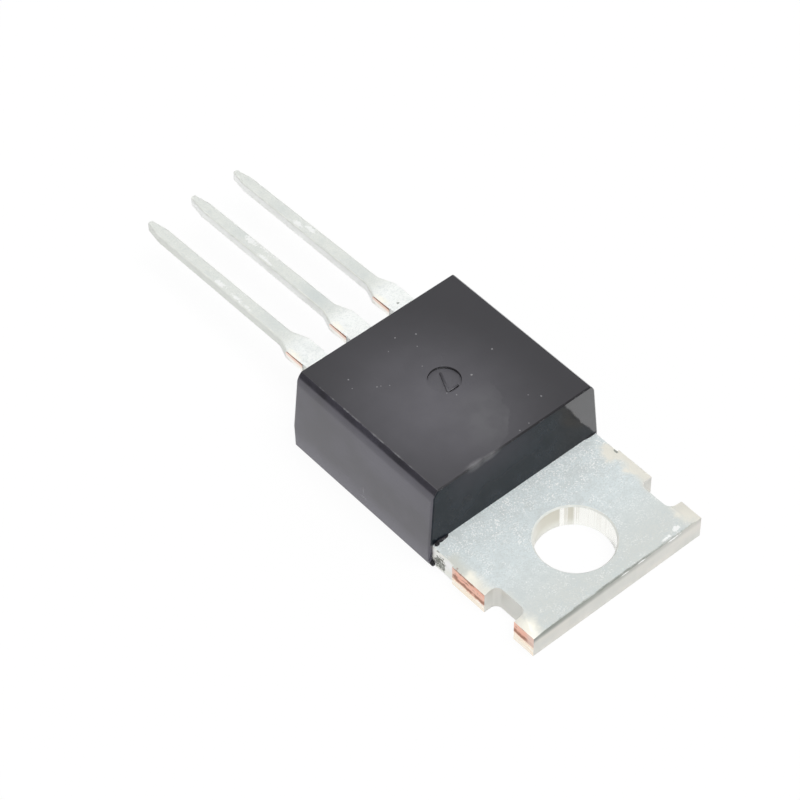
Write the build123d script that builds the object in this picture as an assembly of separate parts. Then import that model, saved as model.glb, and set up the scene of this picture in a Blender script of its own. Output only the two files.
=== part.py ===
from build123d import *
import os
from math import radians, tan

# Power transistor in a flat, tab-mounted plastic package with three leads in a row.
# A silicon chip is soldered to a copper heat sink, joined by bond wires to the two outer
# leads, and moulded into epoxy that leaves the mounting tab and the leads bare.
#
# Millimetres. The origin is the centre of the mounting hole on the tab's back face.
# +Z points out of the tab's front, +Y to the tab's free end, and the leads run to -Y.

# --- Copper lead frame: one stamped strip, rolled in two gauges -------------------------
TAB_THICKNESS = 1.27        # heavy gauge: the heat sink
LEAD_THICKNESS = 0.50       # light gauge: the leads
LEAD_UNDERSIDE = 2.35       # height of the leads' underside over the tab's back
BEND_RADIUS = 0.50          # centreline radius of the step up to the middle lead

# --- Mounting tab ------------------------------------------------------------------------
TAB_WIDTH = 9.78            # over the ears
TAB_REACH = 2.71            # hole centre to the free end
HOLE_DIAMETER = 3.60
HOLE_EDGE = 0.08            # chamfer round the hole's upper edge
ROLL_WIDTH = 0.60           # slope that the punch leaves along both sides of the upper face
ROLL_DROP = 0.09            # what the slope falls by at the ears' outer faces
OUTER_EAR_LENGTH = 1.22     # ear at the free end
NOTCH_LENGTH = 1.84         # notch between the two ears, on each side
NOTCH_DEPTH = 0.72
NOTCH_CORNER = 0.35
INNER_EAR_LENGTH = 2.05     # ear next to the neck

# --- Moulded body, sizes taken at the parting line, level with the tab's front -------------
HOLE_TO_BODY = 3.77
BODY_LENGTH = 9.16
BODY_WIDTH = 9.88
BODY_HEIGHT = 4.50
SIDE_DRAFT = 5.0            # degrees, long sides above the parting line
END_DRAFT = 1.5             # degrees, walls over the tab and the leads, above the parting line
LOWER_DRAFT = 0.7           # degrees, all four sides below the parting line
BODY_CORNER = 0.15
CHAMFER_WIDTH = 0.30        # on the two long upper edges
CHAMFER_HEIGHT = 0.35
PIN_MARK_DIAMETER = 1.52    # recess left by the ejector pin
PIN_MARK_DEPTH = 0.06
PIN_MARK_FROM_FRONT = 4.59

# --- Leads outside the body ----------------------------------------------------------------
LEAD_PITCH = 2.54
LEAD_REACH = 13.29          # body to lead tip
LEAD_DROOP = 1.8            # degrees, downward lean of the leads outside the body
LEAD_WIDTH = 0.70           # next to the stubs
LEAD_END_WIDTH = 0.60       # where the point begins
LEAD_EDGE = 0.12            # rounding of the free part's upper edges
SHOULDER_WIDTH = 1.20
STUB_FROM_BODY = 1.40       # sheared stubs of the bar that tied the leads together
STUB_LENGTH = 1.17
STUB_PROUD = 0.03
TAPER_LENGTH = 0.75         # from the stubs down to the lead's own width
TAPER_FILLET = 0.80
POINT_LENGTH = 1.00
POINT_FILLET = 1.50
TIP_WIDTH = 0.26
TIP_CORNER = 0.10

# --- Inside the body -----------------------------------------------------------------------
NECK_COVER = 0.16           # epoxy on each side of the tab's neck
NECK_INSET = 0.32           # how far the neck reaches in behind the body's front
SIDE_COVER = 0.75           # epoxy on each side of the heat sink
REAR_COVER = 0.70           # epoxy behind the bond posts
LEDGE_WIDTH = 0.30          # undercut round the heat sink that keys it into the epoxy
LEDGE_HEIGHT = 0.60
GROOVE_FROM_FRONT = 1.00    # locking groove across the heat sink
GROOVE_WIDTH = 0.70
GROOVE_DEPTH = 0.35
POST_WIDTH = 2.60           # bond posts at the inner ends of the outer leads
POST_LENGTH = 1.45
POST_CORNER = 0.25
POST_GAP = 0.45             # bond post to the middle lead
POST_TO_SINK = 0.25         # bond post to the heat sink's rear edge, seen from above
LOCK_HOLE_DIAMETER = 0.60   # epoxy peg through each bond post's outer corner
LOCK_HOLE_INSET = 0.55
STEP_RUN_IN = 0.20          # level run of the middle lead before it climbs
STEP_RUN_OUT = 0.75         # level run of the middle lead before it leaves the body

# --- Chip and bond wires -------------------------------------------------------------------
CHIP_SIZE = 3.60
CHIP_THICKNESS = 0.25
SOLDER_THICKNESS = 0.05
EMITTER_WIRE_DIAMETER = 0.38
BASE_WIRE_DIAMETER = 0.25
WIRE_SPACING = 0.85         # between the two emitter wires
BOND_INSET = 0.45           # outermost bond to the chip's side edge
BOND_FROM_REAR = 0.90       # bonds to the chip's rear edge
LOOP_RISE = 0.65            # corner of the wire's route over its bond on the post
LOOP_RADIUS = 0.65
FOOT_LENGTH = 2.2           # wedge bond, in wire diameters
FOOT_WIDTH = 1.35
FOOT_HEIGHT = 0.60
FOOT_CHAMFER = 0.35         # in foot heights

# --- Derived places ------------------------------------------------------------------------
PARTING_HEIGHT = TAB_THICKNESS
LEAD_TOP = LEAD_UNDERSIDE + LEAD_THICKNESS
FRONT_Y = -HOLE_TO_BODY
REAR_Y = FRONT_Y - BODY_LENGTH
TIP_Y = REAR_Y - LEAD_REACH
STUB_START_Y = REAR_Y - STUB_FROM_BODY
STUB_END_Y = STUB_START_Y - STUB_LENGTH
POST_REAR_Y = REAR_Y + REAR_COVER
POST_FRONT_Y = POST_REAR_Y + POST_LENGTH
POST_Y = (POST_REAR_Y + POST_FRONT_Y) / 2
POST_INNER_X = SHOULDER_WIDTH / 2 + POST_GAP
POST_X = POST_INNER_X + POST_WIDTH / 2
SINK_REAR_Y = POST_FRONT_Y + POST_TO_SINK
SINK_WIDTH = BODY_WIDTH - 2 * SIDE_COVER
GROOVE_Y = FRONT_Y - GROOVE_FROM_FRONT
CHIP_Y = (GROOVE_Y + SINK_REAR_Y) / 2
CHIP_REAR_Y = CHIP_Y - CHIP_SIZE / 2
CHIP_TOP = TAB_THICKNESS + SOLDER_THICKNESS + CHIP_THICKNESS


def block(x_low, x_high, y_low, y_high, z_low, z_high):
    """A box between two corners."""
    size = (x_high - x_low, y_high - y_low, z_high - z_low)
    centre = ((x_low + x_high) / 2, (y_low + y_high) / 2, (z_low + z_high) / 2)
    return Pos(*centre) * Box(*size)


def area(x_low, x_high, y_low, y_high):
    """A rectangle between two corners, in plan."""
    centre = ((x_low + x_high) / 2, (y_low + y_high) / 2)
    return Pos(*centre) * Rectangle(x_high - x_low, y_high - y_low)


# --- Lead frame ----------------------------------------------------------------------------
def notch(side):
    """Plan of the notch between the ears on one side, open to the outside."""
    edge_x = TAB_WIDTH / 2
    y_high = TAB_REACH - OUTER_EAR_LENGTH
    plan = area(edge_x - NOTCH_DEPTH, edge_x + TAB_WIDTH, y_high - NOTCH_LENGTH, y_high)
    inner = plan.vertices().group_by(Axis.X)[0]
    plan = fillet(inner, min(NOTCH_CORNER, 0.49 * NOTCH_LENGTH))
    return plan if side > 0 else mirror(plan, about=Plane.YZ)


def tab_plan():
    """Plan of the bare tab: the neck, two ears a side and the mounting hole."""
    neck_half = BODY_WIDTH / 2 - NECK_COVER
    ear_start = TAB_REACH - OUTER_EAR_LENGTH - NOTCH_LENGTH - INNER_EAR_LENGTH
    plan = area(-neck_half, neck_half, FRONT_Y - NECK_INSET, ear_start)
    plan += area(-TAB_WIDTH / 2, TAB_WIDTH / 2, ear_start, TAB_REACH)
    plan -= notch(1)
    plan -= notch(-1)
    return plan - Circle(HOLE_DIAMETER / 2)


def tab():
    """The bare tab: its plan, cut to the section that the punch leaves."""
    half, level = TAB_WIDTH / 2, TAB_WIDTH / 2 - ROLL_WIDTH
    section = make_face(
        Polyline(
            (-half, 0),
            (half, 0),
            (half, TAB_THICKNESS - ROLL_DROP),
            (level, TAB_THICKNESS),
            (-level, TAB_THICKNESS),
            (-half, TAB_THICKNESS - ROLL_DROP),
            close=True,
        )
    )
    solid = extrude(tab_plan(), TAB_THICKNESS)
    solid &= extrude(Plane.XZ * section, TAB_REACH + HOLE_TO_BODY + NECK_INSET, both=True)
    hole = solid.edges().filter_by(GeomType.CIRCLE).filter_by(lambda e: e.length > 3 * HOLE_DIAMETER)
    return chamfer(hole.group_by(Axis.Z)[-1], HOLE_EDGE)


def heat_sink():
    """The heavy plate inside the body, undercut and grooved to lock into the epoxy."""
    half = SINK_WIDTH / 2
    front = FRONT_Y - NECK_INSET
    plate = block(-half, half, SINK_REAR_Y, front, 0, TAB_THICKNESS)
    for side in (-1, 1):
        edges = sorted((side * half, side * (half - LEDGE_WIDTH)))
        plate -= block(*edges, SINK_REAR_Y, front, 0, LEDGE_HEIGHT)
    plate -= block(-half, half, SINK_REAR_Y, SINK_REAR_Y + LEDGE_WIDTH, 0, LEDGE_HEIGHT)
    groove = make_face(
        Polyline(
            (GROOVE_Y - GROOVE_WIDTH / 2, TAB_THICKNESS),
            (GROOVE_Y + GROOVE_WIDTH / 2, TAB_THICKNESS),
            (GROOVE_Y, TAB_THICKNESS - GROOVE_DEPTH),
            close=True,
        )
    )
    return plate - extrude(Plane.YZ * groove, SINK_WIDTH, both=True)


def lead_plan(inner_y):
    """Plan of one straight lead: shoulder, sheared stubs, taper and rounded point."""
    shoulder = SHOULDER_WIDTH / 2
    taper_y, point_y = STUB_END_Y - TAPER_LENGTH, TIP_Y + POINT_LENGTH
    right = [
        (shoulder, inner_y),
        (shoulder, STUB_START_Y),
        (shoulder + STUB_PROUD, STUB_START_Y),
        (shoulder + STUB_PROUD, STUB_END_Y),
        (LEAD_WIDTH / 2, taper_y),
        (LEAD_END_WIDTH / 2, point_y),
        (TIP_WIDTH / 2, TIP_Y),
    ]
    left = [(-x, y) for x, y in reversed(right)]
    plan = make_face(Polyline(*right, *left, close=True))
    for y, radius in ((taper_y, TAPER_FILLET), (point_y, POINT_FILLET), (TIP_Y, TIP_CORNER)):
        plan = fillet([v for v in plan.vertices() if abs(v.Y - y) < 1e-4], radius)
    return plan


def lead_top(y):
    """Height of a lead's upper face: level in the body, then leaning down."""
    return LEAD_TOP - max(0, REAR_Y - y) * tan(radians(LEAD_DROOP))


def bare_lead(inner_y):
    """A lead at its height and lean, with the upper edges of its free part rounded."""
    upper = [(y, lead_top(y)) for y in (inner_y, REAR_Y, TIP_Y)]
    lower = [(y, z - LEAD_THICKNESS) for y, z in reversed(upper)]
    profile = make_face(Polyline(*upper, *lower, close=True))
    solid = extrude(lead_plan(inner_y), BODY_HEIGHT)
    solid &= extrude(Plane.YZ * profile, SHOULDER_WIDTH, both=True)
    free = [
        edge
        for edge in solid.edges()
        if all(v.Y < STUB_END_Y + 1e-3 and abs(v.Z - lead_top(v.Y)) < 1e-3 for v in edge.vertices())
    ]
    return fillet(free, LEAD_EDGE)


def step():
    """The light-gauge strip that climbs from the heat sink to the middle lead."""
    low = TAB_THICKNESS - LEAD_THICKNESS / 2
    high = LEAD_UNDERSIDE + LEAD_THICKNESS / 2
    route = FilletPolyline(
        (0, SINK_REAR_Y + LEAD_THICKNESS, low),
        (0, SINK_REAR_Y - STEP_RUN_IN, low),
        (0, REAR_Y + STEP_RUN_OUT, high),
        (0, REAR_Y, high),
        radius=BEND_RADIUS,
    )
    start = Plane(route @ 0, x_dir=(1, 0, 0), z_dir=route % 0)
    return sweep(start * Rectangle(SHOULDER_WIDTH, LEAD_THICKNESS), path=route)


def collector_frame():
    """Tab, heat sink and middle lead: one piece of copper."""
    return tab() + heat_sink() + step() + bare_lead(REAR_Y + STEP_RUN_OUT / 2)


def outer_lead(side):
    """A lead with its bond post, cut off from the heat sink inside the body."""
    post = area(POST_INNER_X, POST_INNER_X + POST_WIDTH, POST_REAR_Y, POST_FRONT_Y)
    post = fillet(post.vertices(), POST_CORNER)
    hole_x = POST_INNER_X + POST_WIDTH - LOCK_HOLE_INSET
    hole_y = POST_REAR_Y + LOCK_HOLE_INSET
    post -= Pos(hole_x, hole_y) * Circle(LOCK_HOLE_DIAMETER / 2)
    post = Pos(0, 0, LEAD_UNDERSIDE) * extrude(post, LEAD_THICKNESS)
    lead = post + Pos(LEAD_PITCH, 0, 0) * bare_lead(POST_REAR_Y + POST_CORNER)
    return lead if side > 0 else mirror(lead, about=Plane.YZ)


# --- Chip and wires ------------------------------------------------------------------------
def chip():
    """The silicon chip."""
    height = TAB_THICKNESS + SOLDER_THICKNESS
    return Pos(0, CHIP_Y, height) * extrude(Rectangle(CHIP_SIZE, CHIP_SIZE), CHIP_THICKNESS)


def solder():
    """The solder layer, spread a little past the chip's edges."""
    foot = CHIP_SIZE + 2 * SOLDER_THICKNESS
    layer = extrude(Rectangle(foot, foot), SOLDER_THICKNESS, taper=45)
    return Pos(0, CHIP_Y, TAB_THICKNESS) * layer


def wedge_foot(centre, along, diameter):
    """The flattened end of a wire, pressed onto a pad, its two upper edges bevelled."""
    height = FOOT_HEIGHT * diameter
    across = along.cross(Vector(0, 0, -1))
    base = Plane(centre, x_dir=across, z_dir=(0, 0, 1))
    foot = extrude(base * Rectangle(FOOT_WIDTH * diameter, FOOT_LENGTH * diameter), height)
    upper = foot.edges().filter_by(Axis(centre, along)).group_by(Axis.Z)[-1]
    return chamfer(upper, FOOT_CHAMFER * height)


def bond_wire(chip_place, post_place, diameter):
    """A wire that loops over from a bond on the chip to a bond on the post."""
    start, end = Vector(*chip_place, CHIP_TOP), Vector(*post_place, LEAD_TOP)
    span = Vector(end.X - start.X, end.Y - start.Y, 0)
    along = span.normalized()
    radius = diameter / 2
    plane = Plane(start, x_dir=along, z_dir=along.cross(Vector(0, 0, 1)))
    inner = (FOOT_LENGTH - 1) * radius
    outer = span.length - inner
    high = end.Z - start.Z + radius
    points = [(inner, radius), ((inner + outer) / 2, high + LOOP_RISE), (outer, high)]
    route = plane * FilletPolyline(*points, radius=LOOP_RADIUS)
    wire = sweep(Plane(route @ 0, z_dir=route % 0) * Circle(radius), path=route)
    return wire + wedge_foot(start, along, diameter) + wedge_foot(end, along, diameter)


def bond_wires():
    """The base wire and the two emitter wires."""
    chip_x = CHIP_SIZE / 2 - BOND_INSET
    chip_y = CHIP_REAR_Y + BOND_FROM_REAR
    wires = {"base_bond_wire": bond_wire((-chip_x, chip_y), (-POST_X, POST_Y), BASE_WIRE_DIAMETER)}
    for number, offset in enumerate((0, WIRE_SPACING), start=1):
        post_x = POST_X + WIRE_SPACING / 2 - offset
        wires[f"emitter_bond_wire_{number}"] = bond_wire(
            (chip_x - offset, chip_y), (post_x, POST_Y), EMITTER_WIRE_DIAMETER
        )
    return wires


# --- Moulded body --------------------------------------------------------------------------
def body_section(height, side_inset, end_inset):
    """The body's outline at one height, drawn in from its size at the parting line."""
    plan = RectangleRounded(BODY_WIDTH - 2 * side_inset, BODY_LENGTH - 2 * end_inset, BODY_CORNER)
    return Pos(0, (FRONT_Y + REAR_Y) / 2, height) * plan


def body_form():
    """The outer form: drafted both ways from the parting line, long upper edges chamfered."""
    lower = PARTING_HEIGHT * tan(radians(LOWER_DRAFT))
    rise = BODY_HEIGHT - PARTING_HEIGHT
    wall = rise - CHAMFER_HEIGHT
    side, end = tan(radians(SIDE_DRAFT)), tan(radians(END_DRAFT))
    sections = [
        body_section(0, lower, lower),
        body_section(PARTING_HEIGHT, 0, 0),
        body_section(BODY_HEIGHT - CHAMFER_HEIGHT, wall * side, wall * end),
        body_section(BODY_HEIGHT, wall * side + CHAMFER_WIDTH, rise * end),
    ]
    return loft(sections, ruled=True)


def moulded_body(inserts):
    """The epoxy, moulded round everything that it holds."""
    mark = Cylinder(PIN_MARK_DIAMETER / 2, PIN_MARK_DEPTH, align=(Align.CENTER, Align.CENTER, Align.MAX))
    body = body_form() - Pos(0, FRONT_Y - PIN_MARK_FROM_FRONT, BODY_HEIGHT) * mark
    for insert in inserts:
        body -= insert
    return body


def build():
    """Every piece, by the name of its node."""
    pieces = {
        "heat_sink_tab": collector_frame(),
        "base_lead": outer_lead(-1),
        "emitter_lead": outer_lead(1),
        "transistor_chip": chip(),
        "chip_solder": solder(),
    }
    pieces.update(bond_wires())
    pieces["moulded_body"] = moulded_body(list(pieces.values()))
    return pieces


os.makedirs("parts", exist_ok=True)
for name, piece in build().items():
    export_step(piece, f"parts/{name}.step")
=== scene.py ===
import bpy
import bmesh
from math import pi, radians, tan
from mathutils import Matrix, Vector


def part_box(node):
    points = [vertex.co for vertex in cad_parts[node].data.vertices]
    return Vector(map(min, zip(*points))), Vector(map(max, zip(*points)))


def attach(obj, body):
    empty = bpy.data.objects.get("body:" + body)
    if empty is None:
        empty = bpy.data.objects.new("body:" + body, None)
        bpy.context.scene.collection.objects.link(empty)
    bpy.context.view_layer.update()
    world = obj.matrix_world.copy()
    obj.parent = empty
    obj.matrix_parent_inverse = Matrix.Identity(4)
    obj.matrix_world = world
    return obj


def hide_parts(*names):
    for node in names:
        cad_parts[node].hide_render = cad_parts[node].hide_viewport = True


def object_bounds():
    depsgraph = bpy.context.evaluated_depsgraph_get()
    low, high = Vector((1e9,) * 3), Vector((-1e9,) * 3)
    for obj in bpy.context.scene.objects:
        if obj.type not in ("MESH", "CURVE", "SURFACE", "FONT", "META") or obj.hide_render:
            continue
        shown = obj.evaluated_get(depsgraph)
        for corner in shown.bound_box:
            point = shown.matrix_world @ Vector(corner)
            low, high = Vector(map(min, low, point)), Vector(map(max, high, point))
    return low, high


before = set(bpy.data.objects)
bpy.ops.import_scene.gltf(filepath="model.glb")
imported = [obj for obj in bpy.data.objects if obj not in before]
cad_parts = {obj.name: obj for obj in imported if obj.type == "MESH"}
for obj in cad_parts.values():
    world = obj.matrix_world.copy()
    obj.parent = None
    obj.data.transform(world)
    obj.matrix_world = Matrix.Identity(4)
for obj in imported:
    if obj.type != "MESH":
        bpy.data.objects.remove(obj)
cad_box = [list(corner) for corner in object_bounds()]
MM = 0.001


# --- Camera ------------------------------------------------------------------------------------
# It looks down on the part from beyond the mounting tab, so that the tab is nearest and the
# leads run away from it.
VIEW_AZIMUTH, VIEW_ELEVATION, VIEW_ROLL = radians(139.767), radians(48.708), radians(-0.955)
VIEW_DISTANCE = 129.3 * MM
AIM_OFFSET = Vector((1.04, 1.57, 0.09)) * MM
LENS = 132.27

bpy.ops.object.select_all(action="DESELECT")
aim = (Vector(cad_box[0]) + Vector(cad_box[1])) / 2 + AIM_OFFSET
turn = Matrix.Rotation(VIEW_AZIMUTH, 4, "Z") @ Matrix.Rotation(pi / 2 - VIEW_ELEVATION, 4, "X")
turn = turn @ Matrix.Rotation(VIEW_ROLL, 4, "Z")
bpy.ops.object.camera_add()
camera = bpy.context.object
camera.matrix_world = Matrix.Translation(aim + turn @ Vector((0, 0, VIEW_DISTANCE))) @ turn
camera.data.lens = LENS
camera.data.clip_start, camera.data.clip_end = 1 * MM, 5
bpy.context.scene.camera = camera


# --- Heat sink with mounting tab, and the three leads ------------------------------------------
# Stamped from copper strip that was tin-plated before it was cut: the rolled faces are tinned and
# the sheared ones show copper. The middle lead is one piece with the heat sink.
TAB_HALF, TAB_TOP, NECK_HALF = 4.89 * MM, 1.27 * MM, 4.78 * MM
TAB_END_MM = 2.71     # in millimetres, as the rows of spots are
HOLE_RADIUS, HOLE_SIDES = 1.802 * MM, 96
BODY_FRONT_Y, BODY_REAR_Y = -3.77 * MM, -12.93 * MM
UNDER_EPOXY = 0.1 * MM     # how far the finishes of the bare metal run on inside the body
STUB_START_Y, STUB_END_Y = -14.33 * MM, -15.50 * MM
TAB_EDGE_BREAK, LEAD_EDGE_BREAK = 0.03 * MM, 0.05 * MM
FACING = 0.9          # how far a face's normal must lie along an axis to count as facing that way
UPRIGHT = 0.3         # how far an upright face's normal may still lean up or down
MERGE_DISTANCE = 0.0005 * MM
FLAT_ANGLE = radians(0.5)      # triangles that meet this flat are one face
SHARP_ANGLE = radians(40)      # edges sharper than this are broken
SMOOTH_ANGLE = radians(60)     # edges blunter than this are shaded smooth

TIN = (0.70, 0.765, 0.775, 1)
END_TIN = (0.65, 0.675, 0.65, 1)
SHADED_TIN = (0.61, 0.655, 0.65, 1)
LEAD_TIN = (0.77, 0.79, 0.75, 1)
SHOULDER_TIN = (0.98, 1.0, 0.98, 1)
CREAM_TIN = (0.90, 0.90, 0.84, 1)
BRIGHT_TIN = (0.97, 0.98, 0.97, 1)
WHITE_TIN = (1.0, 1.0, 0.96, 1)
ROLLED_EDGE_REFLECTION = (0.84, 0.82, 0.74, 1)
RUBBED_TIN = (0.66, 0.68, 0.63, 1)
DRAWN_TIN = (0.72, 0.70, 0.61, 1)
SIDE_TIN = (0.84, 0.85, 0.81, 1)
WARM_GREY = (0.79, 0.77, 0.72, 1)
SHADED_GREY = (0.72, 0.72, 0.68, 1)
DARK_SPOT_AND_SHADE = (0.30, 0.32, 0.29, 1)
COPPER = (0.88, 0.45, 0.33, 1)
PALE_COPPER = (0.93, 0.58, 0.46, 1)
DARK_COPPER = (0.27, 0.10, 0.05, 1)
PALE_YELLOW = (1.0, 0.99, 0.90, 1)
WARM_REFLECTION_TIN = (0.96, 0.94, 0.84, 1)
YELLOW_TIN = (1.0, 0.86, 0.68, 1)
STUB_TIN = (1.0, 0.99, 0.94, 1)
DARK_PATCH_GREY = (0.20, 0.21, 0.18, 1)
DULL_METAL = 0.20     # dull tin scatters most of its light, so it is only partly a mirror
BRIGHT_METAL = 0.50   # smeared tin mirrors more
MIRROR_METAL = 0.85   # and burnished tin most of all


def take(piece):
    """Select one object and make it the active one."""
    bpy.ops.object.select_all(action="DESELECT")
    piece.select_set(True)
    bpy.context.view_layer.objects.active = piece


def merged_copy(node, name):
    """A new piece with a CAD node's mesh, its loose triangles merged into whole faces."""
    piece = bpy.data.objects.new(name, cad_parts[node].data.copy())
    bpy.context.collection.objects.link(piece)
    piece.data.materials.clear()
    take(piece)
    bpy.ops.object.mode_set(mode="EDIT")
    bpy.ops.mesh.select_all(action="SELECT")
    bpy.ops.mesh.remove_doubles(threshold=MERGE_DISTANCE)
    bpy.ops.mesh.dissolve_limited(angle_limit=FLAT_ANGLE)
    bpy.ops.object.mode_set(mode="OBJECT")
    return piece


def apply_modifier(piece, kind, **settings):
    """Add a modifier to a piece and apply it."""
    take(piece)
    modifier = piece.modifiers.new(kind.lower(), kind)
    for name, value in settings.items():
        setattr(modifier, name, value)
    bpy.ops.object.modifier_apply(modifier=modifier.name)


def boolean(piece, tool, operation="DIFFERENCE"):
    """Cut a tool out of a piece, or join it on, and throw the tool away."""
    apply_modifier(piece, "BOOLEAN", object=tool, operation=operation, solver="EXACT")
    bpy.data.objects.remove(tool)


def break_edges(piece, width):
    """Round the sharp edges a little, and shade the rest by the large faces."""
    apply_modifier(
        piece, "BEVEL", width=width, segments=2, limit_method="ANGLE", angle_limit=SHARP_ANGLE
    )
    apply_modifier(piece, "WELD", merge_threshold=MERGE_DISTANCE)
    bpy.ops.object.shade_smooth_by_angle(angle=SMOOTH_ANGLE)
    apply_modifier(piece, "WEIGHTED_NORMAL", weight=60, keep_sharp=True)


def face_finish(piece, finishes):
    """Give each face the last finish in the list whose test its centre and normal pass."""
    for finish, _ in finishes:
        piece.data.materials.append(finish)
    for face in piece.data.polygons:
        for index, (_, fits) in enumerate(finishes):
            if fits(face.center, face.normal):
                face.material_index = index


class Nodes:
    """A node tree that is filled one node at a time. Each call gives back the node's output."""

    def __init__(self, tree):
        self.tree = tree
        tree.nodes.clear()

    def add(self, kind, inputs, out=0, **settings):
        node = self.tree.nodes.new(kind)
        for name, value in settings.items():
            setattr(node, name, value)
        for key, value in inputs.items():
            if isinstance(value, bpy.types.NodeSocket):
                self.tree.links.new(value, node.inputs[key])
            else:
                node.inputs[key].default_value = value
        return node.outputs[out]

    def math(self, operation, a, b=0.0, clamp=False):
        return self.add("ShaderNodeMath", {0: a, 1: b}, operation=operation, use_clamp=clamp)

    def times(self, a, *factors):
        for factor in factors:
            a = self.math("MULTIPLY", a, factor)
        return a

    def vector(self, operation, a, b=(0, 0, 0), out=0):
        return self.add("ShaderNodeVectorMath", {0: a, 1: b}, out=out, operation=operation)

    def scale(self, a, factor):
        return self.add("ShaderNodeVectorMath", {0: a, "Scale": factor}, operation="SCALE")

    def ramp(self, value, low, high, at_low=0.0, at_high=1.0):
        """A smooth step from one value to another."""
        inputs = {
            "Value": value, "From Min": low, "From Max": high, "To Min": at_low, "To Max": at_high,
        }
        return self.add("ShaderNodeMapRange", inputs, interpolation_type="SMOOTHSTEP")

    def mix(self, amount, a, b):
        """A colour between two others."""
        return self.add("ShaderNodeMix", {0: amount, 6: a, 7: b}, out=2, data_type="RGBA")

    def noise(self, place, grain, detail=2.0):
        """Soft noise, about 0.5 on average, whose lumps are about as wide as the grain."""
        if not isinstance(grain, tuple):
            grain = (grain, grain, grain)
        scaled = self.vector("DIVIDE", place, grain)
        return self.add("ShaderNodeTexNoise", {"Vector": scaled, "Scale": 1.0, "Detail": detail})

    def wander(self, place, grain, reach):
        """Noise as a distance either side of nothing, to make a straight border ragged."""
        return self.times(self.math("SUBTRACT", self.noise(place, grain, 4), 0.5), 2 * reach)

    def axes(self, place):
        """The three coordinates, one by one."""
        node = self.tree.nodes.new("ShaderNodeSeparateXYZ")
        self.tree.links.new(place, node.inputs[0])
        return node.outputs

    def use(self, effect, **inputs):
        """One of the shared effects below."""
        named = {name.replace("_", " "): value for name, value in inputs.items()}
        return self.add("ShaderNodeGroup", named, node_tree=effect)

    def bump(self, height, distance, strength):
        inputs = {"Height": height, "Distance": distance, "Strength": strength}
        return self.add("ShaderNodeBump", inputs)

    def surface(self, **inputs):
        """Close a material with its shader."""
        named = {name.replace("_", " "): value for name, value in inputs.items()}
        shader = self.add("ShaderNodeBsdfPrincipled", named)
        end = self.tree.nodes.new("ShaderNodeOutputMaterial")
        self.tree.links.new(shader, end.inputs["Surface"])


def new_material(name):
    """An empty material, its nodes and the object coordinates."""
    made = bpy.data.materials.new(name)
    made.use_nodes = True
    nodes = Nodes(made.node_tree)
    return made, nodes, nodes.add("ShaderNodeTexCoord", {}, out="Object")


def new_effect(name, inputs, outputs):
    """A shared effect: a node group, its nodes, its inputs and its outputs."""
    tree = bpy.data.node_groups.new(name, "ShaderNodeTree")
    nodes = Nodes(tree)
    for label, value in inputs.items():
        kind = "NodeSocketVector" if isinstance(value, tuple) else "NodeSocketFloat"
        tree.interface.new_socket(label, in_out="INPUT", socket_type=kind).default_value = value
    for label, kind in outputs.items():
        tree.interface.new_socket(label, in_out="OUTPUT", socket_type=kind)
    given, made = tree.nodes.new("NodeGroupInput"), tree.nodes.new("NodeGroupOutput")
    return tree, nodes, given.outputs, made.inputs


# A patch with a soft and ragged edge: 1 in the middle of an oval and 0 outside it.
spot, nodes, given, made = new_effect(
    "spot",
    {"Place": (0, 0, 0), "Centre": (0, 0, 0), "Half size": (1, 1, 1), "Softness": 0.5,
     "Raggedness": 0.5, "Grain": 0.0001},
    {"Mask": "NodeSocketFloat"},
)
offset = nodes.vector("SUBTRACT", given["Place"], given["Centre"])
distance = nodes.vector("LENGTH", nodes.vector("DIVIDE", offset, given["Half size"]), out="Value")
grain = nodes.math("DIVIDE", 1.0, given["Grain"])
scaled = nodes.scale(given["Place"], grain)
ragged = nodes.add("ShaderNodeTexNoise", {"Vector": scaled, "Scale": 1.0, "Detail": 3.0})
ragged = nodes.times(nodes.math("SUBTRACT", ragged, 0.5), given["Raggedness"], 4)
inner = nodes.math("SUBTRACT", 1.0, given["Softness"])
mask = nodes.ramp(nodes.math("ADD", distance, ragged), inner, 1.0, 1.0, 0.0)
nodes.tree.links.new(mask, made["Mask"])

# Fine streaks that a punch or a roller leaves, longer along one axis than across it.
streaks, nodes, given, made = new_effect(
    "streaks",
    {"Place": (0, 0, 0), "Grain": (0.0001, 0.0001, 0.001)},
    {"Value": "NodeSocketFloat"},
)
scaled = nodes.vector("DIVIDE", given["Place"], given["Grain"])
streak = nodes.add("ShaderNodeTexNoise", {"Vector": scaled, "Scale": 1.0, "Detail": 3.0})
nodes.tree.links.new(nodes.ramp(streak, 0.3, 0.7), made["Value"])


def spots(nodes, place, rows, grain=0.12 * MM):
    """One mask for several spots: each row has a centre, a half size, a softness and a raggedness."""
    mask = None
    for centre, half, soft, ragged in rows:
        one = nodes.use(
            spot, Place=place, Centre=Vector(centre) * MM, Half_size=Vector(half) * MM,
            Softness=soft, Raggedness=ragged, Grain=grain,
        )
        mask = one if mask is None else nodes.math("MAXIMUM", mask, one)
    return mask


def end_edge_dark_reflection(nodes, place):
    """Mask of the dark, broken line along the upper edge of the tab's free end, a painted dark
    reflection.
    """
    edge = ((0.2, TAB_END_MM - 0.01, 1.24), (5.4, 0.09, 0.09), 0.7, 0.22)
    gaps = nodes.ramp(nodes.noise(place, (0.7 * MM, 5 * MM, 5 * MM), 5), 0.34, 0.56, 0.25, 1.0)
    return nodes.times(spots(nodes, place, [edge]), gaps)
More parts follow.
